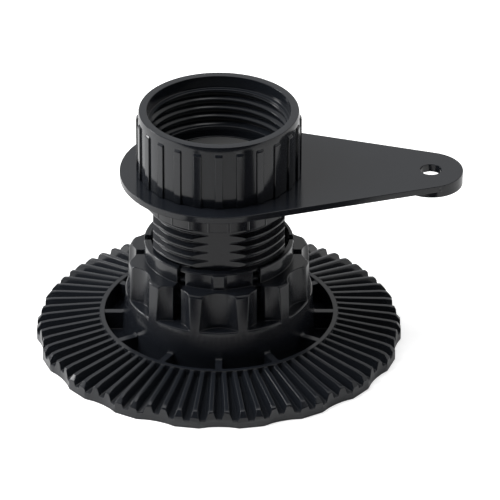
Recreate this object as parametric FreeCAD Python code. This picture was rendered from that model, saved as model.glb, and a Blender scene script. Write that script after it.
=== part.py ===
import FreeCAD, Part
import math
import os

# Adjustable cabinet leg: a toothed foot, a threaded stem, a swivelling arm plate and a ribbed
# socket. All lengths in millimetres. +Z is up, the arm points along +X, and the origin is the
# centre of the foot's flat underside.

# Foot disc with its ring of radial teeth
FOOT_R = 50.0
TOOTH_COUNT = 72
TOOTH_TOP_WIDTH = 1.05
TOOTH_INNER_TOP_Z = 7.35
TOOTH_SLOPE = 0.144           # fall of a tooth's top edge per millimetre outwards
TOOTH_NOSE = 3.1              # how far in from the rim the top edge starts to round off
TOOTH_NOSE_BULGE = 0.62       # height of the rounded nose over its chord
TOOTH_NOSE_FOOT_Z = 3.2
TOOTH_NOSE_FACETS = 2
TOOTH_FLANK_SLOPE = 0.335     # sideways run of a flank per millimetre of depth
VALLEY_INNER_DEPTH = 1.85
VALLEY_OUTER_DEPTH = 2.65
TOOTH_SEAT = 0.3              # how far a tooth reaches into the disc below it
SCALLOP_COUNT = 18
SCALLOP_HALF_ANGLE = 6.2      # degrees
SCALLOP_DEPTH = 1.1

# Trough between the teeth and the hub
RING_OUTER_R = 32.67
RING_WALL = 1.33
RING_TOP_Z = 7.56
TROUGH_FLOOR_Z = 2.0
SPOKE_COUNT = 12
SPOKE_WIDTH = 1.9
SPOKE_TOP_Z = 7.2
SPOKE_GUSSET = 0.4

# Hub
HUB_TOP_Z = 25.8
HUB_TOP_R = 24.85
HUB_DRAFT = 0.0612            # growth of the radius per millimetre downwards
HUB_CHAMFER = 0.6
FLUTE_COUNT = 12
FLUTE_BOTTOM_R = 22.5
FLUTE_ARC_R = 6.8
FLUTE_LEDGE_Z = 15.15
BORE_FLOOR_Z = 2.5

# Collet fingers round the stem
COLLET_R = 20.35
COLLET_TOP_Z = 30.4
COLLET_CHAMFER = 0.3
SLOT_COUNT = 6
SLOT_WIDTH = 2.4
KEY_ANGLES = (90.0, 270.0)
KEY_HEIGHT = 0.55
KEY_TOP_WIDTH = 2.8
KEY_SIDE_RUN = 0.7

# Stem with its shoulder and spigot
STEM_R = 19.2
STEM_CLEARANCE = 0.05         # between the stem and the bore that it runs in
STEM_BOTTOM_Z = 16.0
STEM_FLAT_DISTANCE = 17.8
STEM_WALL = 3.4
SHOULDER_Z = 43.3
SHOULDER_R = 20.7
SHOULDER_FACETS = 24
SPIGOT_R = 16.0

# Arm plate
PLATE_BOTTOM_Z = 49.57
PLATE_THICKNESS = 1.85
PLATE_R = 26.8
ARM_LENGTH = 56.0             # from the axis to the centre of the tip's arc
ARM_TIP_R = 9.9
SCREW_DISTANCE = 57.17
SCREW_HOLE_R = 2.87
SCREW_HOLE_DEPTH = 2.35
SCREW_BOSS_R = 8.7
SCREW_BOSS_DROP = 2.17
COUNTERBORE_R = 6.4           # room for the screw's head below the hole
SWIVEL_CLEARANCE = 0.05       # round the spigot
THRUST_GAP = 0.1              # above and below the plate

# Ribbed socket
SOCKET_TOP_Z = 69.68
SOCKET_R = 21.8
SOCKET_RIM_R = 21.5
SOCKET_TAPER_Z = 67.8
SOCKET_FLOOR = 1.65
SOCKET_BORE_R = 19.35
SOCKET_RIB_COUNT = 24
SOCKET_RIB_WIDTH = 2.1
SOCKET_RIB_HEIGHT = 0.45
SOCKET_RIB_SLOPE = 0.7        # height lost by a rib's sloped upper end

# Values worked out from the sizes above
BORE_R = STEM_R + STEM_CLEARANCE
RING_INNER_R = RING_OUTER_R - RING_WALL
SHOULDER_TOP_Z = PLATE_BOTTOM_Z - THRUST_GAP
PLATE_TOP_Z = PLATE_BOTTOM_Z + PLATE_THICKNESS
SOCKET_BOTTOM_Z = PLATE_TOP_Z + THRUST_GAP
SOCKET_FLOOR_Z = SOCKET_BOTTOM_Z + SOCKET_FLOOR
FRONT = 270.0
UP = FreeCAD.Vector(0, 0, 1)
ORIGIN = FreeCAD.Vector(0, 0, 0)


def point(x, y, z):
    return FreeCAD.Vector(x, y, z)


def on_circle(r, angle, z):
    return point(r * math.cos(math.radians(angle)), r * math.sin(math.radians(angle)), z)


def profile_face(points):
    """Flat face through (radius, height) points, in the XZ plane."""
    corners = [point(r, 0, z) for r, z in points]
    return Part.Face(Part.makePolygon(corners + corners[:1]))


def revolved(points):
    return profile_face(points).revolve(ORIGIN, UP, 360)


def upright_slab(points, width):
    """Profile in the XZ plane, widened equally to both sides."""
    slab = profile_face(points).extrude(point(0, width, 0))
    slab.translate(point(0, -width / 2, 0))
    return slab


def turned(shape, angle):
    copy = shape.copy()
    copy.rotate(ORIGIN, UP, angle)
    return copy


def around(shape, count, first=0.0):
    """Copies of a shape spread evenly about the Z axis, from the angle first."""
    return [turned(shape, first + 360.0 * index / count) for index in range(count)]


def polygon_ring(apothem, count, z):
    """Corners of a regular polygon with a side square to the X axis."""
    half_step = 180.0 / count
    corner_r = apothem / math.cos(math.radians(half_step))
    return [on_circle(corner_r, half_step * (2 * index + 1), z) for index in range(count)]


def faceted(sections):
    """Solid with flat sides through rings of corners that match one to one."""
    outlines = [sections[0] + sections[0][:1], sections[-1] + sections[-1][:1]]
    for low, high in zip(sections, sections[1:]):
        for index in range(len(low)):
            after = (index + 1) % len(low)
            outlines.append([low[index], low[after], high[after], high[index], low[index]])
    faces = [Part.Face(Part.makePolygon(outline)) for outline in outlines]
    return Part.Solid(Part.Shell(faces))


def hub_radius(z):
    return HUB_TOP_R + (HUB_TOP_Z - z) * HUB_DRAFT


def tooth_top_z(r):
    return TOOTH_INNER_TOP_Z - (r - RING_OUTER_R) * TOOTH_SLOPE


def tooth_nose():
    """(radius, height) points of the rounded outer end of a tooth, from the rim inwards."""
    start_r = FOOT_R - TOOTH_NOSE
    run = (start_r - FOOT_R, tooth_top_z(start_r) - TOOTH_NOSE_FOOT_Z)
    chord = math.hypot(*run)
    outwards = (run[1] / chord, -run[0] / chord)
    points = []
    for index in range(TOOTH_NOSE_FACETS + 1):
        share = index / TOOTH_NOSE_FACETS
        rise = TOOTH_NOSE_BULGE * 4 * share * (1 - share)
        points.append((
            FOOT_R + run[0] * share + outwards[0] * rise,
            TOOTH_NOSE_FOOT_Z + run[1] * share + outwards[1] * rise,
        ))
    return points


def valley_floor_z(r):
    depth_slope = (VALLEY_OUTER_DEPTH - VALLEY_INNER_DEPTH) / (FOOT_R - RING_OUTER_R)
    return tooth_top_z(r) - VALLEY_INNER_DEPTH - depth_slope * (r - RING_OUTER_R)


def toothless_disc():
    """Disc whose upper side falls outwards in flat valley floors, with the open trough."""
    outer_r = FOOT_R + TOOTH_NOSE
    disc = faceted([
        polygon_ring(outer_r, TOOTH_COUNT, 0),
        polygon_ring(outer_r, TOOTH_COUNT, valley_floor_z(outer_r)),
        polygon_ring(RING_OUTER_R, TOOTH_COUNT, valley_floor_z(RING_OUTER_R)),
    ])
    trough = Part.makeCylinder(RING_INNER_R, RING_TOP_Z, point(0, 0, TROUGH_FLOOR_Z))
    return disc.cut(trough)


def trough_ring():
    """Ring at the inner ends of the teeth, with a flat between every two of them."""
    low_z = TROUGH_FLOOR_Z
    ring = faceted([polygon_ring(RING_OUTER_R, TOOTH_COUNT, z) for z in (low_z, RING_TOP_Z)])
    return ring.cut(Part.makeCylinder(RING_INNER_R, RING_TOP_Z, point(0, 0, low_z)))


def tooth():
    """One tooth along +X, with sloped flanks and a rounded outer end."""
    start_r = RING_OUTER_R - RING_WALL / 2
    end_r = FOOT_R + TOOTH_NOSE

    def section(r):
        top = tooth_top_z(r)
        low = valley_floor_z(r) - TOOTH_SEAT
        top_half = TOOTH_TOP_WIDTH / 2
        low_half = top_half + (top - low) * TOOTH_FLANK_SLOPE
        return [
            point(r, -low_half, low),
            point(r, low_half, low),
            point(r, top_half, top),
            point(r, -top_half, top),
        ]

    nose = tooth_nose()
    side = [(start_r, 0), (end_r, 0), (end_r, nose[0][1]), (FOOT_R, nose[0][1])]
    side += nose[1:] + [(start_r, tooth_top_z(start_r))]
    return faceted([section(start_r), section(end_r)]).common(upright_slab(side, 2 * TOOTH_NOSE))


def rim_block():
    """Upright block with the foot's outline: hollows with flats between them."""
    step = 360.0 / SCALLOP_COUNT
    edges = []
    for index in range(SCALLOP_COUNT):
        middle = FRONT + index * step
        start = on_circle(FOOT_R, middle - SCALLOP_HALF_ANGLE, 0)
        end = on_circle(FOOT_R, middle + SCALLOP_HALF_ANGLE, 0)
        after = on_circle(FOOT_R, middle + step - SCALLOP_HALF_ANGLE, 0)
        hollow = on_circle(FOOT_R - SCALLOP_DEPTH, middle, 0)
        edges.append(Part.Arc(start, hollow, end).toShape())
        edges.append(Part.LineSegment(end, after).toShape())
    return Part.Face(Part.Wire(edges)).extrude(point(0, 0, COLLET_TOP_Z))


def hub():
    """Tapered hub with the collet on top and a plain blind bore."""
    return revolved([
        (0, BORE_FLOOR_Z / 2),
        (hub_radius(BORE_FLOOR_Z / 2), BORE_FLOOR_Z / 2),
        (hub_radius(HUB_TOP_Z - HUB_CHAMFER), HUB_TOP_Z - HUB_CHAMFER),
        (HUB_TOP_R - HUB_CHAMFER, HUB_TOP_Z),
        (COLLET_R, HUB_TOP_Z),
        (COLLET_R, COLLET_TOP_Z - COLLET_CHAMFER),
        (COLLET_R - COLLET_CHAMFER, COLLET_TOP_Z),
        (BORE_R, COLLET_TOP_Z),
        (BORE_R, BORE_FLOOR_Z),
        (0, BORE_FLOOR_Z),
    ])


def flute_cutter():
    centre = point(FLUTE_BOTTOM_R + FLUTE_ARC_R, 0, FLUTE_LEDGE_Z)
    return Part.makeCylinder(FLUTE_ARC_R, COLLET_TOP_Z - FLUTE_LEDGE_Z, centre)


def slot_cutter():
    reach = FLUTE_BOTTOM_R + FLUTE_ARC_R
    corner = point(0, -SLOT_WIDTH / 2, FLUTE_LEDGE_Z)
    return Part.makeBox(reach, SLOT_WIDTH, COLLET_TOP_Z, corner)


def spoke():
    """Thin wall across the trough along +X, with a small gusset up the hub."""
    hub_foot_r = hub_radius(SPOKE_TOP_Z)
    inside_hub_r = (BORE_R + HUB_TOP_R) / 2
    inside_ring_r = (RING_INNER_R + RING_OUTER_R) / 2
    low_z = TROUGH_FLOOR_Z / 2
    return upright_slab([
        (inside_hub_r, low_z),
        (inside_ring_r, low_z),
        (inside_ring_r, SPOKE_TOP_Z),
        (hub_foot_r + SPOKE_GUSSET, SPOKE_TOP_Z),
        (hub_radius(SPOKE_TOP_Z + SPOKE_GUSSET), SPOKE_TOP_Z + SPOKE_GUSSET),
        (inside_hub_r, SPOKE_TOP_Z + SPOKE_GUSSET),
    ], SPOKE_WIDTH)


def collet_key():
    """Raised key with sloped sides on the collet's outer wall, along +X."""
    inside_r = (BORE_R + COLLET_R) / 2
    top_r = COLLET_R + KEY_HEIGHT
    half_top = KEY_TOP_WIDTH / 2
    half_foot = half_top + KEY_SIDE_RUN
    low_z = HUB_TOP_Z - COLLET_CHAMFER
    corners = [
        point(inside_r, -half_foot, low_z),
        point(COLLET_R, -half_foot, low_z),
        point(top_r, -half_top, low_z),
        point(top_r, half_top, low_z),
        point(COLLET_R, half_foot, low_z),
        point(inside_r, half_foot, low_z),
    ]
    face = Part.Face(Part.makePolygon(corners + corners[:1]))
    return face.extrude(point(0, 0, COLLET_TOP_Z - COLLET_CHAMFER - low_z))


def foot_base():
    keys = [turned(collet_key(), angle) for angle in KEY_ANGLES]
    teeth = around(tooth(), TOOTH_COUNT, first=180.0 / TOOTH_COUNT)
    body = toothless_disc().fuse([trough_ring(), hub()] + around(spoke(), SPOKE_COUNT) + keys + teeth)
    body = body.common(rim_block())
    body = body.cut(around(flute_cutter(), FLUTE_COUNT) + around(slot_cutter(), SLOT_COUNT))
    return body.removeSplitter()


def threaded_stem():
    """Hollow rod with four flats, a faceted shoulder and the spigot that the plate turns on."""
    length = SHOULDER_Z - STEM_BOTTOM_Z
    side = 2 * STEM_FLAT_DISTANCE
    foot = point(0, 0, STEM_BOTTOM_Z)
    corner = point(-STEM_FLAT_DISTANCE, -STEM_FLAT_DISTANCE, STEM_BOTTOM_Z)
    rod = Part.makeCylinder(STEM_R, length, foot).common(Part.makeBox(side, side, length, corner))
    rod = rod.cut(Part.makeCylinder(STEM_FLAT_DISTANCE - STEM_WALL, length, foot))
    apothem = SHOULDER_R * math.cos(math.pi / SHOULDER_FACETS)
    shoulder = faceted([
        polygon_ring(apothem, SHOULDER_FACETS, SHOULDER_Z),
        polygon_ring(apothem, SHOULDER_FACETS, SHOULDER_TOP_Z),
    ])
    spigot = Part.makeCylinder(SPIGOT_R, SOCKET_FLOOR_Z - SHOULDER_Z, point(0, 0, SHOULDER_Z))
    return rod.fuse([shoulder, spigot]).removeSplitter()


def arm_plate():
    """Drop-shaped plate: a disc and a small tip joined by their common tangents."""
    tangent = math.acos((PLATE_R - ARM_TIP_R) / ARM_LENGTH)
    cos_t = math.cos(tangent)
    sin_t = math.sin(tangent)
    disc_top = point(PLATE_R * cos_t, PLATE_R * sin_t, PLATE_BOTTOM_Z)
    disc_low = point(PLATE_R * cos_t, -PLATE_R * sin_t, PLATE_BOTTOM_Z)
    tip_top = point(ARM_LENGTH + ARM_TIP_R * cos_t, ARM_TIP_R * sin_t, PLATE_BOTTOM_Z)
    tip_low = point(ARM_LENGTH + ARM_TIP_R * cos_t, -ARM_TIP_R * sin_t, PLATE_BOTTOM_Z)
    outline = Part.Wire([
        Part.Arc(disc_top, point(-PLATE_R, 0, PLATE_BOTTOM_Z), disc_low).toShape(),
        Part.LineSegment(disc_low, tip_low).toShape(),
        Part.Arc(tip_low, point(ARM_LENGTH + ARM_TIP_R, 0, PLATE_BOTTOM_Z), tip_top).toShape(),
        Part.LineSegment(tip_top, disc_top).toShape(),
    ])
    plate = Part.Face(outline).extrude(point(0, 0, PLATE_THICKNESS))
    boss_z = PLATE_BOTTOM_Z - SCREW_BOSS_DROP
    height = PLATE_TOP_Z - boss_z
    screw_foot = point(SCREW_DISTANCE, 0, boss_z)
    plate = plate.fuse(Part.makeCylinder(SCREW_BOSS_R, height, screw_foot))
    swivel = Part.makeCylinder(SPIGOT_R + SWIVEL_CLEARANCE, height, point(0, 0, boss_z))
    screw_hole = Part.makeCylinder(SCREW_HOLE_R, height, screw_foot)
    counterbore = Part.makeCylinder(COUNTERBORE_R, height - SCREW_HOLE_DEPTH, screw_foot)
    return plate.cut([swivel, screw_hole, counterbore]).removeSplitter()


def socket_rib():
    """Rib on the socket's outer wall along +X, its upper end sloping inwards."""
    rib_r = SOCKET_R + SOCKET_RIB_HEIGHT
    inside_r = (SOCKET_BORE_R + SOCKET_R) / 2
    return upright_slab([
        (inside_r, SOCKET_BOTTOM_Z),
        (rib_r, SOCKET_BOTTOM_Z),
        (rib_r, SOCKET_TAPER_Z - SOCKET_RIB_SLOPE),
        (SOCKET_R, SOCKET_TAPER_Z),
        (inside_r, SOCKET_TAPER_Z),
    ], SOCKET_RIB_WIDTH)


def socket_sleeve():
    """Ribbed cup with a plain bore and a floor round the spigot."""
    cup = revolved([
        (SPIGOT_R, SOCKET_BOTTOM_Z),
        (SOCKET_R, SOCKET_BOTTOM_Z),
        (SOCKET_R, SOCKET_TAPER_Z),
        (SOCKET_RIM_R, SOCKET_TOP_Z),
        (SOCKET_BORE_R, SOCKET_TOP_Z),
        (SOCKET_BORE_R, SOCKET_FLOOR_Z),
        (SPIGOT_R, SOCKET_FLOOR_Z),
    ])
    return cup.fuse(around(socket_rib(), SOCKET_RIB_COUNT, first=FRONT)).removeSplitter()


PIECES = {
    "foot_base": foot_base,
    "threaded_stem": threaded_stem,
    "arm_plate": arm_plate,
    "socket_sleeve": socket_sleeve,
}

os.makedirs("parts", exist_ok=True)
for name, make in PIECES.items():
    shape = make()
    solids = shape.Solids
    print(name, "solids", len(solids), "valid", shape.isValid(), "volume", round(shape.Volume, 1))
    solids[0].exportStep(f"parts/{name}.step")
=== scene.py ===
"""Adjustable cabinet leg: finishes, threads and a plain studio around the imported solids."""
import math

import bmesh
import bpy
from bpy.props import FloatProperty, FloatVectorProperty, IntProperty, PointerProperty
from mathutils import Matrix, Quaternion, Vector


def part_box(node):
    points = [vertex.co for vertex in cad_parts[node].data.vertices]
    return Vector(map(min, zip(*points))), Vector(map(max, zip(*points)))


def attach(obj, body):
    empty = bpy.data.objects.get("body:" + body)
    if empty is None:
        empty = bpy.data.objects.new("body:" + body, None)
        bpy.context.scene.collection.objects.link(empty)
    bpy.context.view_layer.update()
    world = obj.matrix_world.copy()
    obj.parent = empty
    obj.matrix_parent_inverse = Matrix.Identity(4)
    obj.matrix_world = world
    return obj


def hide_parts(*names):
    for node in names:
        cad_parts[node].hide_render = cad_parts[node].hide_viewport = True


bl_info = {
    "name": "Adjustable cabinet leg",
    "version": (1, 0, 0),
    "blender": (4, 5, 0),
    "location": "3D View > Sidebar > Cabinet leg",
    "description": "Dresses a toothed, screw-adjusted cabinet leg and its studio",
    "category": "Object",
}

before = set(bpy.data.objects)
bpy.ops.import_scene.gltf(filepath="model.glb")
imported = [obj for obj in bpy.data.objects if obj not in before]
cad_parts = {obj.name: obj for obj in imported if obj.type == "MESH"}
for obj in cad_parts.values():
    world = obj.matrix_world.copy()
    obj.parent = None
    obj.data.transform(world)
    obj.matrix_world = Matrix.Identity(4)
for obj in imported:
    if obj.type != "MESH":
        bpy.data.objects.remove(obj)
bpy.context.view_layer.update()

FULL_TURN = 2 * math.pi
MM = 0.001
TINY = 0.001 * MM
CUT_SLACK = 1e-7
AXIS_UP = Vector((0, 0, 1))
AXIS_DOWN = -AXIS_UP
ORIGIN = Vector((0, 0, 0))
ROUND_STEPS = 96
ROUNDING = "bevel_weight_edge"

# An edge is rounded past the first angle and is a corner past the second one
SHARP = math.radians(32)
CORNER = 1.0
LEVEL = 0.99

# Heights read from the solids
FOOT_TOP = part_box("foot_base")[1].z
STEM_BOTTOM, STEM_TOP = (corner.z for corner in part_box("threaded_stem"))
PLATE_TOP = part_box("arm_plate")[1].z
SOCKET_BOTTOM, SOCKET_TOP = (corner.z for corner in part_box("socket_sleeve"))

# Arm plate, whose boss starts away from the stem
PLATE_THICKNESS = 1.85 * MM
PLATE_UNDERSIDE = PLATE_TOP - PLATE_THICKNESS
BOSS_START = 48 * MM
HEIGHT_SLACK = 0.05 * MM

# Shoulder of the stem, with a share of each bead's radius sunk into it
THRUST_GAP = 0.1 * MM
SHOULDER_TOP = PLATE_UNDERSIDE - THRUST_GAP
SHOULDER_SLACK = 0.1 * MM
BEAD_SINK = 0.7
BEAD_STEPS = 24

# Places on the foot's solid whose edges are rounded more or less than the rest
HUB_TOP = 25.8 * MM
HUB_CHAMFER = 0.6 * MM
FLUTE_LEDGE = 15.15 * MM
FLUTE_EDGE_R = 24.9 * MM
FLUTE_EDGE_SPREAD = 1.3 * MM
COLLET_BORE_R = 19.25 * MM
COLLET_LEAD = 0.2 * MM
COLLET_SLOTS = 6
COLLET_SLOT_HALF = 1.25 * MM

# Threads: spare turns that are cut off again, roundings, and how far a ridge's base
# reaches into its wall
SPARE_TURNS = 2
THREAD_ROUNDING = 0.17 * MM
RIDGE_ROUNDING = 0.9
RIDGE_SINK = 0.1 * MM

# Thread inside the collet, half a turn off the stem's crests
COLLET_TURNS_BELOW = 5.5
COLLET_PLAY = 0.15 * MM
COLLET_HALF_CREST = 0.16 * MM
COLLET_HALF_BASE = 0.95 * MM

# Thread inside the socket, from its plain foot up into the step
SOCKET_THREAD_START = math.radians(-1052.0)
SOCKET_THREAD_SWEEP = math.radians(1648.0)
SOCKET_CREST = 62.25 * MM
SOCKET_HALF_CREST = 0.2 * MM
SOCKET_THREAD_GAP = 0.02 * MM
SOCKET_STEPS_PER_RIB = 5
STEP_LAND = 0.4 * MM
FOOT_SLOPE = 0.7
SEAT_OVERLAP = 0.1 * MM

# Finish of the plastic
PLASTIC_IOR = 1.5
DARK_TINT = 0.82
PALE_TINT = 1.18
CLOUD_GLOSS = 0.05
FLOW_GLOSS = 0.03
FLOW_RELIEF = 0.6

# Stage
WHITE = (1.0, 1.0, 1.0, 1.0)
FLOOR_SIZE = (6.0, 6.0)
FLOOR_GLOW = 0.6
FRONT_BEARING = 270
AIM = Vector((0, 0, 30 * MM))

# Camera, fitted to the circles in the photograph
CAMERA_ELEVATION = math.radians(29.666)
CAMERA_DISTANCE = 1280 * MM
CAMERA_SENSOR = 36.0
CAMERA_LENS = 339.0
CAMERA_CLIP = 50 * MM
CAMERA_PAN = math.radians(-0.3786)
CAMERA_DIP = math.radians(-0.1419)


class ThreadSizes(bpy.types.PropertyGroup):
    """Sizes of the screw thread"""

    pitch: FloatProperty(
        name="Pitch", description="Rise of the thread in one turn", default=2.6 * MM,
        unit="LENGTH")
    crest_radius: FloatProperty(
        name="Crest radius", description="Outer radius of the stem's thread", default=19.2 * MM,
        unit="LENGTH")
    root_radius: FloatProperty(
        name="Root radius", description="Radius at the bottom of the groove", default=18.0 * MM,
        unit="LENGTH")
    crest_width: FloatProperty(
        name="Crest width", description="Width of a crest before its edges are rounded",
        default=0.6 * MM, unit="LENGTH")
    root_width: FloatProperty(
        name="Root width", description="Width of the groove's bottom", default=0.4 * MM,
        unit="LENGTH")
    first_crest: FloatProperty(
        name="First crest", description="Height of a crest on the arm's side",
        default=29.9 * MM, unit="LENGTH")
    steps: IntProperty(
        name="Steps", description="Segments in one turn of a thread", default=96)


class StemSizes(bpy.types.PropertyGroup):
    """Sizes of the stem, its shoulder and its spigot"""

    flat_distance: FloatProperty(
        name="Flat distance", description="From the axis to each of the stem's four flats",
        default=17.8 * MM, unit="LENGTH")
    hollow_radius: FloatProperty(
        name="Hollow radius", description="Radius of the hollow in the stem",
        default=14.4 * MM, unit="LENGTH")
    shoulder_height: FloatProperty(
        name="Shoulder height", description="Height of the shoulder's lower edge",
        default=43.3 * MM, unit="LENGTH")
    shoulder_radius: FloatProperty(
        name="Shoulder radius", description="Radius of the shoulder under the arm plate",
        default=20.6 * MM, unit="LENGTH")
    bead_count: IntProperty(
        name="Shoulder beads", description="Fine upright beads round the shoulder", default=24)
    bead_radius: FloatProperty(
        name="Bead radius", description="Radius of a bead on the shoulder",
        default=0.5 * MM, unit="LENGTH")
    spigot_radius: FloatProperty(
        name="Spigot radius", description="Radius of the pin that the arm plate turns on",
        default=16.0 * MM, unit="LENGTH")
    seat_radius: FloatProperty(
        name="Seat radius", description="Radius of the round seat at the bottom of the socket",
        default=15.3 * MM, unit="LENGTH")


class SocketSizes(bpy.types.PropertyGroup):
    """Sizes of the socket, its ribs and the room for its thread"""

    wall_radius: FloatProperty(
        name="Wall radius", description="Outer radius between the ribs", default=21.8 * MM,
        unit="LENGTH")
    rim_radius: FloatProperty(
        name="Rim radius", description="Outer radius of the rim", default=21.5 * MM,
        unit="LENGTH")
    taper_height: FloatProperty(
        name="Taper height", description="Height at which the wall starts to draw in",
        default=67.8 * MM, unit="LENGTH")
    bore_radius: FloatProperty(
        name="Bore radius", description="Radius of the smooth mouth", default=19.35 * MM,
        unit="LENGTH")
    minor_radius: FloatProperty(
        name="Thread radius", description="Inner radius of the socket's thread",
        default=18.2 * MM, unit="LENGTH")
    step_radius: FloatProperty(
        name="Step radius", description="Inner radius of the step where the thread begins",
        default=18.22 * MM, unit="LENGTH")
    step_height: FloatProperty(
        name="Step height", description="Height of the step where the thread begins",
        default=66.12 * MM, unit="LENGTH")
    foot_radius: FloatProperty(
        name="Foot radius", description="Radius of the plain wall below the thread",
        default=17.6 * MM, unit="LENGTH")
    foot_height: FloatProperty(
        name="Foot height", description="Top of the plain wall below the thread",
        default=55.1 * MM, unit="LENGTH")
    floor_height: FloatProperty(
        name="Floor height", description="Height of the floor round the seat",
        default=52.1 * MM, unit="LENGTH")
    rib_count: IntProperty(name="Ribs", description="Ribs round the socket", default=24)
    rib_width: FloatProperty(
        name="Rib width", description="Width of a rib", default=2.1 * MM, unit="LENGTH")
    rib_height: FloatProperty(
        name="Rib height", description="How far a rib stands out", default=0.45 * MM,
        unit="LENGTH")
    rib_slope: FloatProperty(
        name="Rib slope", description="Height lost by a rib's sloped upper end",
        default=0.7 * MM, unit="LENGTH")


class PlasticFinish(bpy.types.PropertyGroup):
    """Colours, gloss and edges of the plastic"""

    colour: FloatVectorProperty(
        name="Colour", description="Base colour of the black plastic",
        default=(0.0092, 0.0107, 0.0138), subtype="COLOR", size=3)
    roughness: FloatProperty(
        name="Roughness", description="Mean roughness of the moulded faces", default=0.17,
        subtype="FACTOR")
    # The seat's base colour is lighter than the rest of the plastic: a painted reflection of the
    # overhead light on the socket's seat.
    seat_painted_sheen_colour: FloatVectorProperty(
        name="Seat colour with painted sheen", description="Base colour of the seat in the socket",
        default=(0.055, 0.056, 0.056), subtype="COLOR", size=3)
    matt_roughness: FloatProperty(
        name="Matt roughness", description="Roughness of the seat in the socket", default=0.6,
        subtype="FACTOR")
    grain: FloatProperty(
        name="Grain", description="Depth of the fine mould grain", default=0.004 * MM,
        unit="LENGTH")
    edge_radius: FloatProperty(
        name="Edge radius", description="Rounding of the moulded edges", default=0.19 * MM,
        unit="LENGTH")
    wide_edge_radius: FloatProperty(
        name="Wide edge radius", description="Rounding of the hub's flutes and their ledges",
        default=0.45 * MM, unit="LENGTH")


class StudioSettings(bpy.types.PropertyGroup):
    """Lights and colours of the stage"""

    world_strength: FloatProperty(
        name="World", description="Brightness of the white surroundings", default=0.58)
    key_power: FloatProperty(
        name="Key light", description="Power of the soft light low on the left", default=1.6,
        unit="POWER")
    fill_power: FloatProperty(
        name="Floor light", description="Power of the light that only brightens the floor",
        default=5.0, unit="POWER")
    top_power: FloatProperty(
        name="Top light", description="Power of the soft light overhead", default=3.0,
        unit="POWER")
    floor_colour: FloatVectorProperty(
        name="Floor", description="Colour of the floor", default=(0.8, 0.8, 0.8),
        subtype="COLOR", size=3)
    card_colour: FloatVectorProperty(
        name="Dark card", description="Colour of the dark cards that shape the reflections",
        default=(0.03, 0.03, 0.033), subtype="COLOR", size=3)
    grey_colour: FloatVectorProperty(
        name="Grey card", description="Colour of the card that dims the floor in front",
        default=(0.55, 0.55, 0.55), subtype="COLOR", size=3)


class LegSettings(bpy.types.PropertyGroup):
    """All settings of the leg and its studio"""

    thread: PointerProperty(type=ThreadSizes)
    stem: PointerProperty(type=StemSizes)
    socket: PointerProperty(type=SocketSizes)
    finish: PointerProperty(type=PlasticFinish)
    studio: PointerProperty(type=StudioSettings)


# Shader maths
class Value:
    """A shader socket that takes part in sums written as Python expressions."""

    def __init__(self, shader, socket):
        self.shader = shader
        self.socket = socket

    def maths(self, operation, first, second):
        return self.shader.node(
            "ShaderNodeMath", {"operation": operation}, {0: first, 1: second}).out(0)

    def __add__(self, other):
        return self.maths("ADD", self, other)

    __radd__ = __add__

    def __mul__(self, other):
        return self.maths("MULTIPLY", self, other)

    __rmul__ = __mul__

    def __sub__(self, other):
        return self.maths("SUBTRACT", self, other)

    def __rsub__(self, other):
        return self.maths("SUBTRACT", other, self)


class Placed:
    """A node that has been added, with its outputs as values."""

    def __init__(self, shader, node):
        self.shader = shader
        self.node = node

    def out(self, key):
        return Value(self.shader, self.node.outputs[key])


class Shader:
    """Node tree of one material or of the world."""

    def __init__(self, tree):
        self.tree = tree
        tree.nodes.clear()

    def node(self, kind, settings=None, inputs=None):
        """Adds a node: its settings first, then values or links on its sockets."""
        added = self.tree.nodes.new(kind)
        for key, setting in (settings or {}).items():
            setattr(added, key, setting)
        for key, wanted in (inputs or {}).items():
            if isinstance(wanted, Value):
                self.tree.links.new(wanted.socket, added.inputs[key])
            else:
                added.inputs[key].default_value = wanted
        return Placed(self, added)


def new_material(name):
    """A material and the shader that fills its empty node tree."""
    material = bpy.data.materials.new(name)
    material.use_nodes = True
    return material, Shader(material.node_tree)


def moulded_plastic(name, roughness_offset, grain_share, flow_axis=(1.0, 1.0, 1.0)):
    """Black moulded plastic: fine grain, faint cloudy gloss and slight flow marks."""
    finish = bpy.context.scene.cabinet_leg.finish
    material, shader = new_material(name)
    place = shader.node("ShaderNodeTexCoord").out("Object")
    clouds = shader.node("ShaderNodeTexNoise", {}, {
        "Vector": place, "Scale": 85.0, "Detail": 3.0, "Roughness": 0.55}).out("Fac")
    stretched = shader.node("ShaderNodeMapping", {}, {"Vector": place, "Scale": flow_axis})
    flow = shader.node("ShaderNodeTexNoise", {}, {
        "Vector": stretched.out("Vector"), "Scale": 240.0, "Detail": 4.0}).out("Fac")
    grain = shader.node("ShaderNodeTexNoise", {}, {
        "Vector": place, "Scale": 4200.0, "Detail": 2.0, "Roughness": 0.5}).out("Fac")
    mean_roughness = finish.roughness + roughness_offset
    roughness = (clouds - 0.5) * CLOUD_GLOSS + (flow - 0.5) * FLOW_GLOSS + mean_roughness
    tint = shader.node("ShaderNodeMix", {"data_type": "RGBA"}, {
        "Factor": clouds,
        "A": tuple(DARK_TINT * part for part in finish.colour) + (1.0,),
        "B": tuple(PALE_TINT * part for part in finish.colour) + (1.0,),
    }).out("Result")
    bump = shader.node("ShaderNodeBump", {}, {
        "Strength": 0.35, "Distance": finish.grain * grain_share,
        "Height": grain + flow * FLOW_RELIEF}).out("Normal")
    surface = shader.node("ShaderNodeBsdfPrincipled", {}, {
        "Base Color": tint, "Roughness": roughness, "IOR": PLASTIC_IOR, "Normal": bump})
    shader.node("ShaderNodeOutputMaterial", {}, {"Surface": surface.out("BSDF")})
    return material


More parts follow.
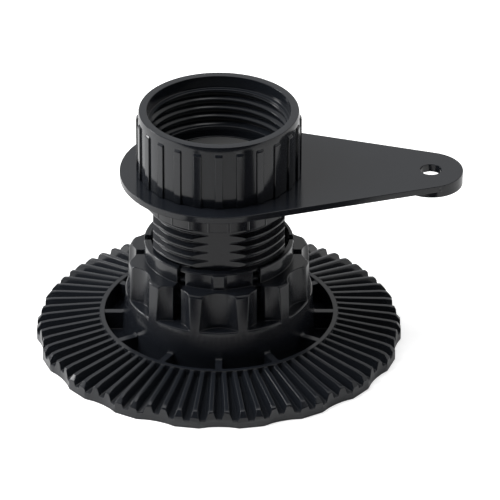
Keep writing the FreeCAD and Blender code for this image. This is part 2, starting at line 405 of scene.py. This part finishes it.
def matt_plastic_painted_sheen(name):
    """The same plastic where the mould was left rough, with a lighter colour that paints the
    overhead light's reflection on the seat.
    """
    finish = bpy.context.scene.cabinet_leg.finish
    material, shader = new_material(name)
    surface = shader.node("ShaderNodeBsdfPrincipled", {}, {
        "Base Color": tuple(finish.seat_painted_sheen_colour) + (1.0,), "Roughness": finish.matt_roughness,
        "IOR": PLASTIC_IOR})
    shader.node("ShaderNodeOutputMaterial", {}, {"Surface": surface.out("BSDF")})
    return material


# Mesh helpers
def new_shape():
    """Empty bmesh whose edges can carry a share of the rounding."""
    bm = bmesh.new()
    bm.edges.layers.float.new(ROUNDING)
    return bm


def finished(bm, name, materials, body, nodes=()):
    """Makes a piece of a bmesh, gives it its finish and puts it on its body."""
    mesh = bpy.data.meshes.new(name)
    bm.to_mesh(mesh)
    bm.free()
    for material in materials:
        mesh.materials.append(material)
    piece = bpy.data.objects.new(name, mesh)
    bpy.context.scene.collection.objects.link(piece)
    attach(piece, body)
    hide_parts(*nodes)
    return piece


def merged_copy(node):
    """A node's mesh with its triangles joined and its flat faces made whole."""
    bm = new_shape()
    bm.from_mesh(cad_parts[node].data)
    bmesh.ops.remove_doubles(bm, verts=bm.verts, dist=TINY)
    bmesh.ops.dissolve_limit(
        bm, angle_limit=math.radians(0.5), use_dissolve_boundaries=False,
        verts=bm.verts, edges=bm.edges, delimit={"NORMAL"})
    return bm


def take_in(bm, other):
    """Moves the whole of another bmesh into a bmesh."""
    carrier = bpy.data.meshes.new("carrier")
    other.to_mesh(carrier)
    other.free()
    bm.from_mesh(carrier)
    bpy.data.meshes.remove(carrier)


def no_rounding(edge, angle, radius, height):
    """Width for shapes whose edges are rounded already."""
    return 0.0


def share_rounding(bm, widest, width_of, crisp=()):
    """Smooths a shape and gives its edges their share of the widest rounding."""
    layer = bm.edges.layers.float[ROUNDING]
    bm.normal_update()
    for face in bm.faces:
        face.smooth = True
    for edge in bm.edges:
        angle = edge.calc_face_angle(0.0)
        middle = (edge.verts[0].co + edge.verts[1].co) / 2
        width = width_of(edge, angle, middle.xy.length, middle.z)
        edge[layer] = width / widest
        edge.smooth = angle < SHARP or width > 0
    for edge in crisp:
        edge.smooth = False


def soften(piece, width, segments=2):
    """Rounds the edges of a piece that have a share of the rounding."""
    bevel = piece.modifiers.new("soft_edges", "BEVEL")
    bevel.width = width
    bevel.segments = segments
    bevel.limit_method = "WEIGHT"
    bevel.use_clamp_overlap = False
    bevel.miter_outer = "MITER_ARC"
    shading = piece.modifiers.new("flat_faces", "WEIGHTED_NORMAL")
    shading.mode = "FACE_AREA"
    shading.weight = 100
    shading.keep_sharp = True


def polyline(bm, points):
    """Joins (radius, height) points in the XZ plane by edges and gives their vertices."""
    verts = [bm.verts.new((r, 0, z)) for r, z in points]
    for pair in zip(verts, verts[1:]):
        bm.edges.new(pair)
    return verts


def round_corners(bm, verts, offset):
    """Rounds the corners of a wire or of a lone face."""
    bmesh.ops.bevel(
        bm, geom=verts, affect="VERTICES", offset=offset, offset_type="OFFSET", segments=2,
        profile=0.5, material=-1)


def open_edges(bm, height):
    """Boundary edges that lie at a height."""
    return [
        edge for edge in bm.edges
        if edge.is_boundary and all(abs(vert.co.z - height) < TINY for vert in edge.verts)
    ]


def ring_of_edges(bm, radius, height):
    """Circle of edges round the axis."""
    made = bmesh.ops.create_circle(
        bm, cap_ends=False, segments=ROUND_STEPS, radius=radius,
        matrix=Matrix.Translation((0, 0, height)))
    return list({edge for vert in made["verts"] for edge in vert.link_edges})


def raise_ring(bm, edges, rise):
    """Draws a ring of edges straight up or down and gives the new ring."""
    made = bmesh.ops.extrude_edge_only(bm, edges=edges)
    verts = [item for item in made["geom"] if isinstance(item, bmesh.types.BMVert)]
    rings = [item for item in made["geom"] if isinstance(item, bmesh.types.BMEdge)]
    bmesh.ops.translate(bm, verts=verts, vec=(0, 0, rise))
    level = verts[0].co.z
    return [edge for edge in rings if all(abs(v.co.z - level) < TINY for v in edge.verts)]


def spin_wire(bm, steps, rise=0.0):
    """Turns the only wire of a shape once round the axis, rising as it goes."""
    bmesh.ops.spin(
        bm, geom=bm.verts[:] + bm.edges[:], axis=AXIS_UP, cent=ORIGIN, dvec=(0, 0, rise / steps),
        angle=FULL_TURN, steps=steps, use_merge=not rise, use_duplicate=False)


def thread_sheet(bm, thread, low, high):
    """Open helical sheet of the stem's thread, at least from low to high."""
    pitch = thread.pitch
    half_crest = thread.crest_width / 2
    half_groove = (pitch - thread.root_width) / 2
    one_turn = (
        (thread.root_radius, -half_groove),
        (thread.crest_radius, -half_crest),
        (thread.crest_radius, half_crest),
        (thread.root_radius, half_groove),
    )
    below = math.ceil((thread.first_crest - low) / pitch) + SPARE_TURNS
    turns = math.ceil((high - low) / pitch) + 2 * SPARE_TURNS
    points = [
        (radius, thread.first_crest + (index - below) * pitch + height)
        for index in range(turns) for radius, height in one_turn
    ]
    verts = polyline(bm, points)
    round_corners(bm, verts[1:-1], THREAD_ROUNDING)
    spin_wire(bm, thread.steps, pitch)
    bmesh.ops.remove_doubles(bm, verts=bm.verts, dist=2 * TINY)


def slice_off(bm, place, outwards):
    """Cuts away what lies beyond a plane, closes the cut and gives the new faces."""
    cut = bmesh.ops.bisect_plane(
        bm, geom=bm.verts[:] + bm.edges[:] + bm.faces[:], dist=CUT_SLACK, plane_co=place,
        plane_no=outwards, clear_outer=True, clear_inner=False)
    edges = [item for item in cut["geom_cut"] if isinstance(item, bmesh.types.BMEdge)]
    return bmesh.ops.edgeloop_fill(bm, edges=edges)["faces"]


def inner_ridge(bm, thread, section, start, sweep, crest_height):
    """Closed ridge that stands inwards from a wall and climbs with the thread.

    The section is the crest's radius and half its width, then the same two for the base.
    """
    crest_r, half_crest, wall_r, half_base = section
    points = (
        (wall_r, -half_base), (crest_r, -half_crest), (crest_r, half_crest), (wall_r, half_base))
    turn = Matrix.Rotation(start, 4, "Z")
    lift = crest_height + thread.pitch * start / FULL_TURN
    corners = [bm.verts.new(turn @ Vector((r, 0, z + lift))) for r, z in points]
    bm.faces.new(corners)
    round_corners(bm, corners[1:3], half_crest * RIDGE_ROUNDING)
    face = corners[0].link_faces[0]
    steps = math.ceil(thread.steps * sweep / FULL_TURN)
    bmesh.ops.spin(
        bm, geom=[face], axis=AXIS_UP, cent=ORIGIN,
        dvec=(0, 0, thread.pitch * sweep / FULL_TURN / steps), angle=sweep, steps=steps,
        use_merge=False, use_duplicate=False)


class CABINETLEG_OT_foot(bpy.types.Operator):
    """Foot with rounded edges, and the thread inside its collet"""

    bl_idname = "cabinet_leg.foot"
    bl_label = "Foot"

    def execute(self, context):
        settings = context.scene.cabinet_leg
        finish = settings.finish
        bm = merged_copy("foot_base")

        def width_of(edge, angle, radius, height):
            if angle < SHARP:
                return 0.0
            if height > FOOT_TOP - TINY and radius < COLLET_BORE_R + TINY:
                return COLLET_LEAD
            if edge.is_convex and abs(radius - FLUTE_EDGE_R) < FLUTE_EDGE_SPREAD:
                if FLUTE_LEDGE - TINY < height < HUB_TOP - HUB_CHAMFER:
                    return finish.wide_edge_radius
                if height > HUB_TOP - HUB_CHAMFER - TINY:
                    return HUB_CHAMFER / 2
            return finish.edge_radius

        share_rounding(bm, finish.wide_edge_radius, width_of)
        ridges = self.collet_thread(settings.thread)
        share_rounding(ridges, finish.wide_edge_radius, no_rounding)
        take_in(bm, ridges)
        plastic = moulded_plastic("foot_black_plastic", roughness_offset=0.02, grain_share=1.0)
        foot = finished(
            bm, "foot_moulding", [plastic], "foot", nodes=("foot_base",))
        soften(foot, finish.wide_edge_radius, segments=3)
        return {"FINISHED"}

    def collet_thread(self, thread):
        """Ridges between the collet's slots, in the middle of the stem's grooves."""
        bm = new_shape()
        margin = math.asin(COLLET_SLOT_HALF / thread.root_radius)
        span = FULL_TURN / COLLET_SLOTS
        rise = thread.pitch / COLLET_SLOTS
        base = thread.first_crest - COLLET_TURNS_BELOW * thread.pitch
        section = (
            thread.root_radius + COLLET_PLAY, COLLET_HALF_CREST,
            COLLET_BORE_R + RIDGE_SINK, COLLET_HALF_BASE)
        first = math.ceil((FLUTE_LEDGE + thread.pitch / 2 - base) / rise)
        last = math.ceil((FOOT_TOP + thread.pitch / 2 - base) / rise)
        for index in range(first, last):
            inner_ridge(bm, thread, section, index * span + margin, span - 2 * margin, base)
        slice_off(bm, (0, 0, FOOT_TOP - COLLET_LEAD / 4), AXIS_UP)
        return bm


class CABINETLEG_OT_stem(bpy.types.Operator):
    """Threaded stem with four flats, a beaded shoulder and its spigot"""

    bl_idname = "cabinet_leg.stem"
    bl_label = "Stem"

    def execute(self, context):
        settings = context.scene.cabinet_leg
        finish = settings.finish
        sizes = settings.stem
        bm = new_shape()
        thread_sheet(bm, settings.thread, STEM_BOTTOM, sizes.shoulder_height)
        slice_off(bm, (0, 0, STEM_BOTTOM), AXIS_DOWN)
        slice_off(bm, (0, 0, sizes.shoulder_height), AXIS_UP)
        flats = []
        for side in ((1, 0, 0), (0, 1, 0), (-1, 0, 0), (0, -1, 0)):
            flats += slice_off(bm, Vector(side) * sizes.flat_distance, side)
        lids = [
            face for face in bm.faces
            if abs(face.normal.z) > LEVEL and len(face.verts) > ROUND_STEPS / 4
        ]
        bmesh.ops.delete(bm, geom=lids, context="FACES_ONLY")
        seat = self.shoulder_and_spigot(bm, sizes)
        self.hollow(bm, sizes)
        bmesh.ops.recalc_face_normals(bm, faces=bm.faces)
        # The seat gets the lighter plastic, whose colour is a painted reflection of the overhead
        # light.
        seat.material_index = 1

        def width_of(edge, angle, radius, height):
            on_shoulder = (
                radius > sizes.shoulder_radius - SHOULDER_SLACK
                and height > sizes.shoulder_height - TINY)
            on_seat = height > STEM_TOP - TINY
            return finish.edge_radius if (on_shoulder or on_seat) and angle > CORNER else 0.0

        crisp = {edge for face in flats for edge in face.edges}
        share_rounding(bm, finish.edge_radius, width_of, crisp)
        beads = self.beads(sizes)
        share_rounding(beads, finish.edge_radius, no_rounding)
        take_in(bm, beads)
        plastic = moulded_plastic("stem_black_plastic", roughness_offset=0.0, grain_share=0.6)
        stem = finished(
            bm, "stem_threaded", [plastic, matt_plastic_painted_sheen("seat_matt_plastic")], "stem",
            nodes=("threaded_stem",))
        soften(stem, finish.edge_radius)
        return {"FINISHED"}

    def shoulder_and_spigot(self, bm, sizes):
        """Builds upwards from the open top of the rod and gives the seat on the spigot."""
        lower = ring_of_edges(bm, sizes.shoulder_radius, sizes.shoulder_height)
        rod_edges = open_edges(bm, sizes.shoulder_height)
        bmesh.ops.triangle_fill(bm, use_beauty=True, edges=rod_edges + lower, normal=AXIS_DOWN)
        upper = raise_ring(bm, lower, SHOULDER_TOP - sizes.shoulder_height)
        spigot = ring_of_edges(bm, sizes.spigot_radius, SHOULDER_TOP)
        bmesh.ops.triangle_fill(bm, use_beauty=True, edges=upper + spigot, normal=AXIS_UP)
        neck = raise_ring(bm, spigot, SOCKET_BOTTOM - SHOULDER_TOP)
        pin = ring_of_edges(bm, sizes.seat_radius, SOCKET_BOTTOM)
        bmesh.ops.bridge_loops(bm, edges=neck + pin)
        top = raise_ring(bm, pin, STEM_TOP - SOCKET_BOTTOM)
        return bmesh.ops.edgeloop_fill(bm, edges=top)["faces"][0]

    def beads(self, sizes):
        """One upright bead, then the others turned round the shoulder."""
        bm = new_shape()
        margin = sizes.bead_radius / 4
        height = SHOULDER_TOP - sizes.shoulder_height - 2 * margin
        middle = sizes.shoulder_height + margin + height / 2
        spacing = FULL_TURN / sizes.bead_count
        place = Matrix.Rotation(spacing / 2, 4, "Z") @ Matrix.Translation(
            (sizes.shoulder_radius - BEAD_SINK * sizes.bead_radius, 0, middle))
        bmesh.ops.create_cone(
            bm, cap_ends=True, cap_tris=False, segments=BEAD_STEPS, radius1=sizes.bead_radius,
            radius2=sizes.bead_radius, depth=height, matrix=place)
        bmesh.ops.spin(
            bm, geom=bm.verts[:] + bm.edges[:] + bm.faces[:], axis=AXIS_UP, cent=ORIGIN,
            dvec=(0, 0, 0), angle=FULL_TURN - spacing, steps=sizes.bead_count - 1,
            use_merge=False, use_duplicate=True)
        return bm

    def hollow(self, bm, sizes):
        """Closes the rod's lower end round its hollow."""
        mouth = ring_of_edges(bm, sizes.hollow_radius, STEM_BOTTOM)
        bmesh.ops.triangle_fill(
            bm, use_beauty=True, edges=open_edges(bm, STEM_BOTTOM) + mouth, normal=AXIS_DOWN)
        ceiling = raise_ring(bm, mouth, sizes.shoulder_height - STEM_BOTTOM)
        bmesh.ops.edgeloop_fill(bm, edges=ceiling)


class CABINETLEG_OT_plate(bpy.types.Operator):
    """Arm plate with rounded edges"""

    bl_idname = "cabinet_leg.plate"
    bl_label = "Arm plate"

    def execute(self, context):
        finish = context.scene.cabinet_leg.finish
        bm = merged_copy("arm_plate")

        def width_of(edge, angle, radius, height):
            # The boss's wall and the plate's edge almost touch here, so both stay crisp.
            at_boss = radius > BOSS_START and abs(height - PLATE_UNDERSIDE) < HEIGHT_SLACK
            return finish.edge_radius if angle > SHARP and not at_boss else 0.0

        share_rounding(bm, finish.edge_radius, width_of)
        plastic = moulded_plastic(
            "plate_black_plastic", roughness_offset=-0.01, grain_share=0.5, flow_axis=(0.3, 1, 1))
        plate = finished(
            bm, "arm_moulding", [plastic], "plate", nodes=("arm_plate",))
        soften(plate, finish.edge_radius)
        return {"FINISHED"}


class CABINETLEG_OT_socket(bpy.types.Operator):
    """Ribbed socket with the thread inside it"""

    bl_idname = "cabinet_leg.socket"
    bl_label = "Socket"

    def execute(self, context):
        settings = context.scene.cabinet_leg
        sizes = settings.socket
        width = settings.finish.edge_radius
        bm = self.cup(sizes, settings.stem.seat_radius - SEAT_OVERLAP)
        take_in(bm, self.ribs(sizes))
        share_rounding(
            bm, width, lambda edge, angle, radius, height: width if angle > SHARP else 0.0)
        ridge = self.thread(settings.thread, sizes)
        share_rounding(ridge, width, no_rounding)
        take_in(bm, ridge)
        plastic = moulded_plastic(
            "socket_black_plastic", roughness_offset=-0.03, grain_share=0.4, flow_axis=(1, 1, 0.3))
        socket = finished(
            bm, "socket_moulding", [plastic], "stem", nodes=("socket_sleeve",))
        soften(socket, width)
        return {"FINISHED"}

    def cup(self, sizes, seat_r):
        """Wall with a smooth mouth, a step, room for the thread and a floor round the seat."""
        step_depth = sizes.bore_radius - sizes.step_radius
        profile = (
            (seat_r, SOCKET_BOTTOM),
            (sizes.wall_radius, SOCKET_BOTTOM),
            (sizes.wall_radius, sizes.taper_height),
            (sizes.rim_radius, SOCKET_TOP),
            (sizes.bore_radius, SOCKET_TOP),
            (sizes.bore_radius, sizes.step_height),
            (sizes.step_radius, sizes.step_height),
            (sizes.step_radius, sizes.step_height - STEP_LAND),
            (sizes.bore_radius, sizes.step_height - STEP_LAND - step_depth / 2),
            (sizes.bore_radius, sizes.foot_height + step_depth * FOOT_SLOPE),
            (sizes.foot_radius, sizes.foot_height),
            (sizes.foot_radius, sizes.floor_height),
            (seat_r, sizes.floor_height),
        )
        bm = new_shape()
        verts = polyline(bm, profile)
        bm.edges.new((verts[-1], verts[0]))
        spin_wire(bm, SOCKET_STEPS_PER_RIB * sizes.rib_count)
        bmesh.ops.recalc_face_normals(bm, faces=bm.faces)
        return bm

    def ribs(self, sizes):
        """One rib drawn from its side view, then turned round the wall."""
        outer = sizes.wall_radius + sizes.rib_height
        inner = (sizes.wall_radius + sizes.bore_radius) / 2
        side = (
            (inner, SOCKET_BOTTOM),
            (outer, SOCKET_BOTTOM),
            (outer, sizes.taper_height - sizes.rib_slope),
            (sizes.wall_radius, sizes.taper_height),
            (inner, sizes.taper_height),
        )
        bm = new_shape()
        face = bm.faces.new([
            bm.verts.new((r, -sizes.rib_width / 2, z)) for r, z in side])
        made = bmesh.ops.extrude_face_region(bm, geom=[face], use_keep_orig=True)
        bmesh.ops.translate(
            bm, vec=(0, sizes.rib_width, 0),
            verts=[item for item in made["geom"] if isinstance(item, bmesh.types.BMVert)])
        bmesh.ops.recalc_face_normals(bm, faces=bm.faces)
        others = sizes.rib_count - 1
        bmesh.ops.spin(
            bm, geom=bm.verts[:] + bm.edges[:] + bm.faces[:], axis=AXIS_UP, cent=ORIGIN,
            dvec=(0, 0, 0), angle=FULL_TURN * others / sizes.rib_count, steps=others,
            use_merge=False, use_duplicate=True)
        return bm

    def thread(self, thread, sizes):
        """Ridge from the plain foot of the wall up into the step."""
        bm = new_shape()
        half_base = (thread.pitch - thread.root_width) / 2
        section = (
            sizes.minor_radius, SOCKET_HALF_CREST, sizes.bore_radius + RIDGE_SINK, half_base)
        inner_ridge(bm, thread, section, SOCKET_THREAD_START, SOCKET_THREAD_SWEEP, SOCKET_CREST)
        slice_off(bm, (0, 0, sizes.step_height - SOCKET_THREAD_GAP), AXIS_UP)
        bmesh.ops.recalc_face_normals(bm, faces=bm.faces)
        return bm


class CABINETLEG_OT_studio(bpy.types.Operator):
    """Floor, soft lights, dark cards, white surroundings and the camera"""

    bl_idname = "cabinet_leg.studio"
    bl_label = "Studio"

    def execute(self, context):
        studio = context.scene.cabinet_leg.studio
        self.lay_floor(studio)
        self.light_world(context, studio)
        self.hang_light("key_light", (-0.75, 0.2, 0.3), 0.22, studio.key_power)
        fill = self.hang_light("floor_light", (-0.4, 0.0, 0.5), 0.5, studio.fill_power)
        fill.visible_glossy = False
        self.hang_light("top_light", (0.1, 0.25, 1.1), 0.9, studio.top_power)
        self.set_cards(studio)
        self.set_camera(context)
        context.scene.view_settings.view_transform = "Standard"
        return {"FINISHED"}

    def flat_sheet(self, name, size, place, material):
        """Flat stage object, its shape placed in its mesh."""
        bm = bmesh.new()
        bmesh.ops.create_grid(bm, x_segments=1, y_segments=1, size=0.5)
        bmesh.ops.scale(bm, verts=bm.verts, vec=(size[0], size[1], 1))
        bmesh.ops.transform(bm, verts=bm.verts, matrix=place)
        mesh = bpy.data.meshes.new(name)
        bm.to_mesh(mesh)
        bm.free()
        sheet = bpy.data.objects.new(name, mesh)
        bpy.context.scene.collection.objects.link(sheet)
        mesh.materials.append(material)
        return sheet

    def lay_floor(self, studio):
        """Pale floor that keeps the leg's shadow and glows a little for the camera."""
        material, shader = new_material("pale_floor")
        seen = shader.node("ShaderNodeLightPath").out("Is Camera Ray")
        plain = shader.node("ShaderNodeBsdfDiffuse", {}, {
            "Color": tuple(studio.floor_colour) + (1.0,)})
        bright = shader.node("ShaderNodeEmission", {}, {
            "Color": WHITE, "Strength": FLOOR_GLOW})
        both = shader.node("ShaderNodeAddShader", {}, {
            0: plain.out(0), 1: bright.out(0)})
        mixed = shader.node("ShaderNodeMixShader", {}, {
            0: seen, 1: plain.out(0), 2: both.out(0)})
        shader.node("ShaderNodeOutputMaterial", {}, {"Surface": mixed.out(0)})
        self.flat_sheet("studio_floor", FLOOR_SIZE, Matrix.Identity(4), material)

    def light_world(self, context, studio):
        """Grey light all round the leg, with white behind it for the camera."""
        world = bpy.data.worlds.new("white_surroundings")
        world.use_nodes = True
        context.scene.world = world
        shader = Shader(world.node_tree)
        seen = shader.node("ShaderNodeLightPath").out("Is Camera Ray")
        lit = shader.node("ShaderNodeBackground", {}, {
            "Color": WHITE, "Strength": studio.world_strength})
        white = shader.node("ShaderNodeBackground", {}, {
            "Color": WHITE, "Strength": 1.0})
        mixed = shader.node("ShaderNodeMixShader", {}, {
            0: seen, 1: lit.out(0), 2: white.out(0)})
        shader.node("ShaderNodeOutputWorld", {}, {"Surface": mixed.out(0)})

    def hang_light(self, name, place, size, power):
        """Square soft light that faces the leg."""
        light = bpy.data.lights.new(name, "AREA")
        light.shape = "SQUARE"
        light.size = size
        light.energy = power
        lamp = bpy.data.objects.new(name, light)
        lamp.location = place
        towards = AIM - Vector(place)
        lamp.rotation_euler = towards.to_track_quat("-Z", "Y").to_euler()
        bpy.context.scene.collection.objects.link(lamp)
        return lamp

    def set_cards(self, studio):
        """Dark and grey cards that the plastic mirrors and the camera doesn't see."""
        dark = self.card_paper("dark_card", studio.card_colour)
        grey = self.card_paper("grey_card", studio.grey_colour)
        upright = Matrix.Rotation(FULL_TURN / 4, 4, "X")
        upright_in_front = Matrix.Translation((0, -0.75, 0.55)) @ upright
        cards = (
            ("front_card", (0.13, 0.17), self.on_floor(270, 0.136, 1), grey),
            ("left_strip", (0.02, 0.16), self.on_floor(241, 0.14, 2), dark),
            ("right_strip", (0.04, 0.16), self.on_floor(308, 0.14, 2), dark),
            ("lying_card", (2.4, 0.8), self.on_floor(270, 0.605, 3), dark),
            ("standing_card", (2.4, 1.1), upright_in_front, dark),
        )
        for name, size, place, paper in cards:
            sheet = self.flat_sheet(name, size, place, paper)
            sheet.visible_camera = False
            sheet.visible_shadow = False

    def on_floor(self, bearing, distance, layer):
        """Place of a card lying towards a bearing, in layers a millimetre apart."""
        turn = Matrix.Rotation(math.radians(bearing - FRONT_BEARING), 4, "Z")
        return turn @ Matrix.Translation((0, -distance, layer * MM))

    def card_paper(self, name, colour):
        """Plain paper without gloss."""
        material, shader = new_material(name)
        paper = shader.node("ShaderNodeBsdfDiffuse", {}, {"Color": tuple(colour) + (1.0,)})
        shader.node("ShaderNodeOutputMaterial", {}, {"Surface": paper.out(0)})
        return material

    def set_camera(self, context):
        """Long lens, looking down at the leg, framed as in the photograph."""
        camera = bpy.data.cameras.new("photo_camera")
        camera.sensor_width = CAMERA_SENSOR
        camera.lens = CAMERA_LENS
        camera.clip_start = CAMERA_CLIP
        seen_from = bpy.data.objects.new("photo_camera", camera)
        backwards = Vector((0, -math.cos(CAMERA_ELEVATION), math.sin(CAMERA_ELEVATION)))
        seen_from.location = AIM + CAMERA_DISTANCE * backwards
        look = (AIM - seen_from.location).to_track_quat("-Z", "Y")
        pan = Quaternion((0, 1, 0), CAMERA_PAN)
        dip = Quaternion((1, 0, 0), CAMERA_DIP)
        seen_from.rotation_euler = (look @ pan @ dip).to_euler()
        context.scene.collection.objects.link(seen_from)
        context.scene.camera = seen_from


class CABINETLEG_PT_sidebar(bpy.types.Panel):
    """Buttons for the pieces of the leg"""

    bl_idname = "CABINETLEG_PT_sidebar"
    bl_label = "Cabinet leg"
    bl_space_type = "VIEW_3D"
    bl_region_type = "UI"
    bl_category = "Cabinet leg"

    def draw(self, context):
        settings = context.scene.cabinet_leg
        for group in (
                settings.thread, settings.stem, settings.socket, settings.finish,
                settings.studio):
            box = self.layout.box()
            for key in group.__annotations__:
                box.prop(group, key)
        for operator in OPERATORS:
            self.layout.operator(operator.bl_idname)


OPERATORS = (
    CABINETLEG_OT_foot,
    CABINETLEG_OT_stem,
    CABINETLEG_OT_plate,
    CABINETLEG_OT_socket,
    CABINETLEG_OT_studio,
)
CLASSES = (
    ThreadSizes, StemSizes, SocketSizes, PlasticFinish, StudioSettings, LegSettings,
) + OPERATORS + (CABINETLEG_PT_sidebar,)


def register():
    for cls in CLASSES:
        bpy.utils.register_class(cls)
    bpy.types.Scene.cabinet_leg = PointerProperty(type=LegSettings)


def unregister():
    del bpy.types.Scene.cabinet_leg
    for cls in reversed(CLASSES):
        bpy.utils.unregister_class(cls)


def main():
    register()
    bpy.ops.cabinet_leg.foot()
    bpy.ops.cabinet_leg.stem()
    bpy.ops.cabinet_leg.plate()
    bpy.ops.cabinet_leg.socket()
    bpy.ops.cabinet_leg.studio()
    bpy.context.view_layer.update()


if __name__ == "__main__":
    main()
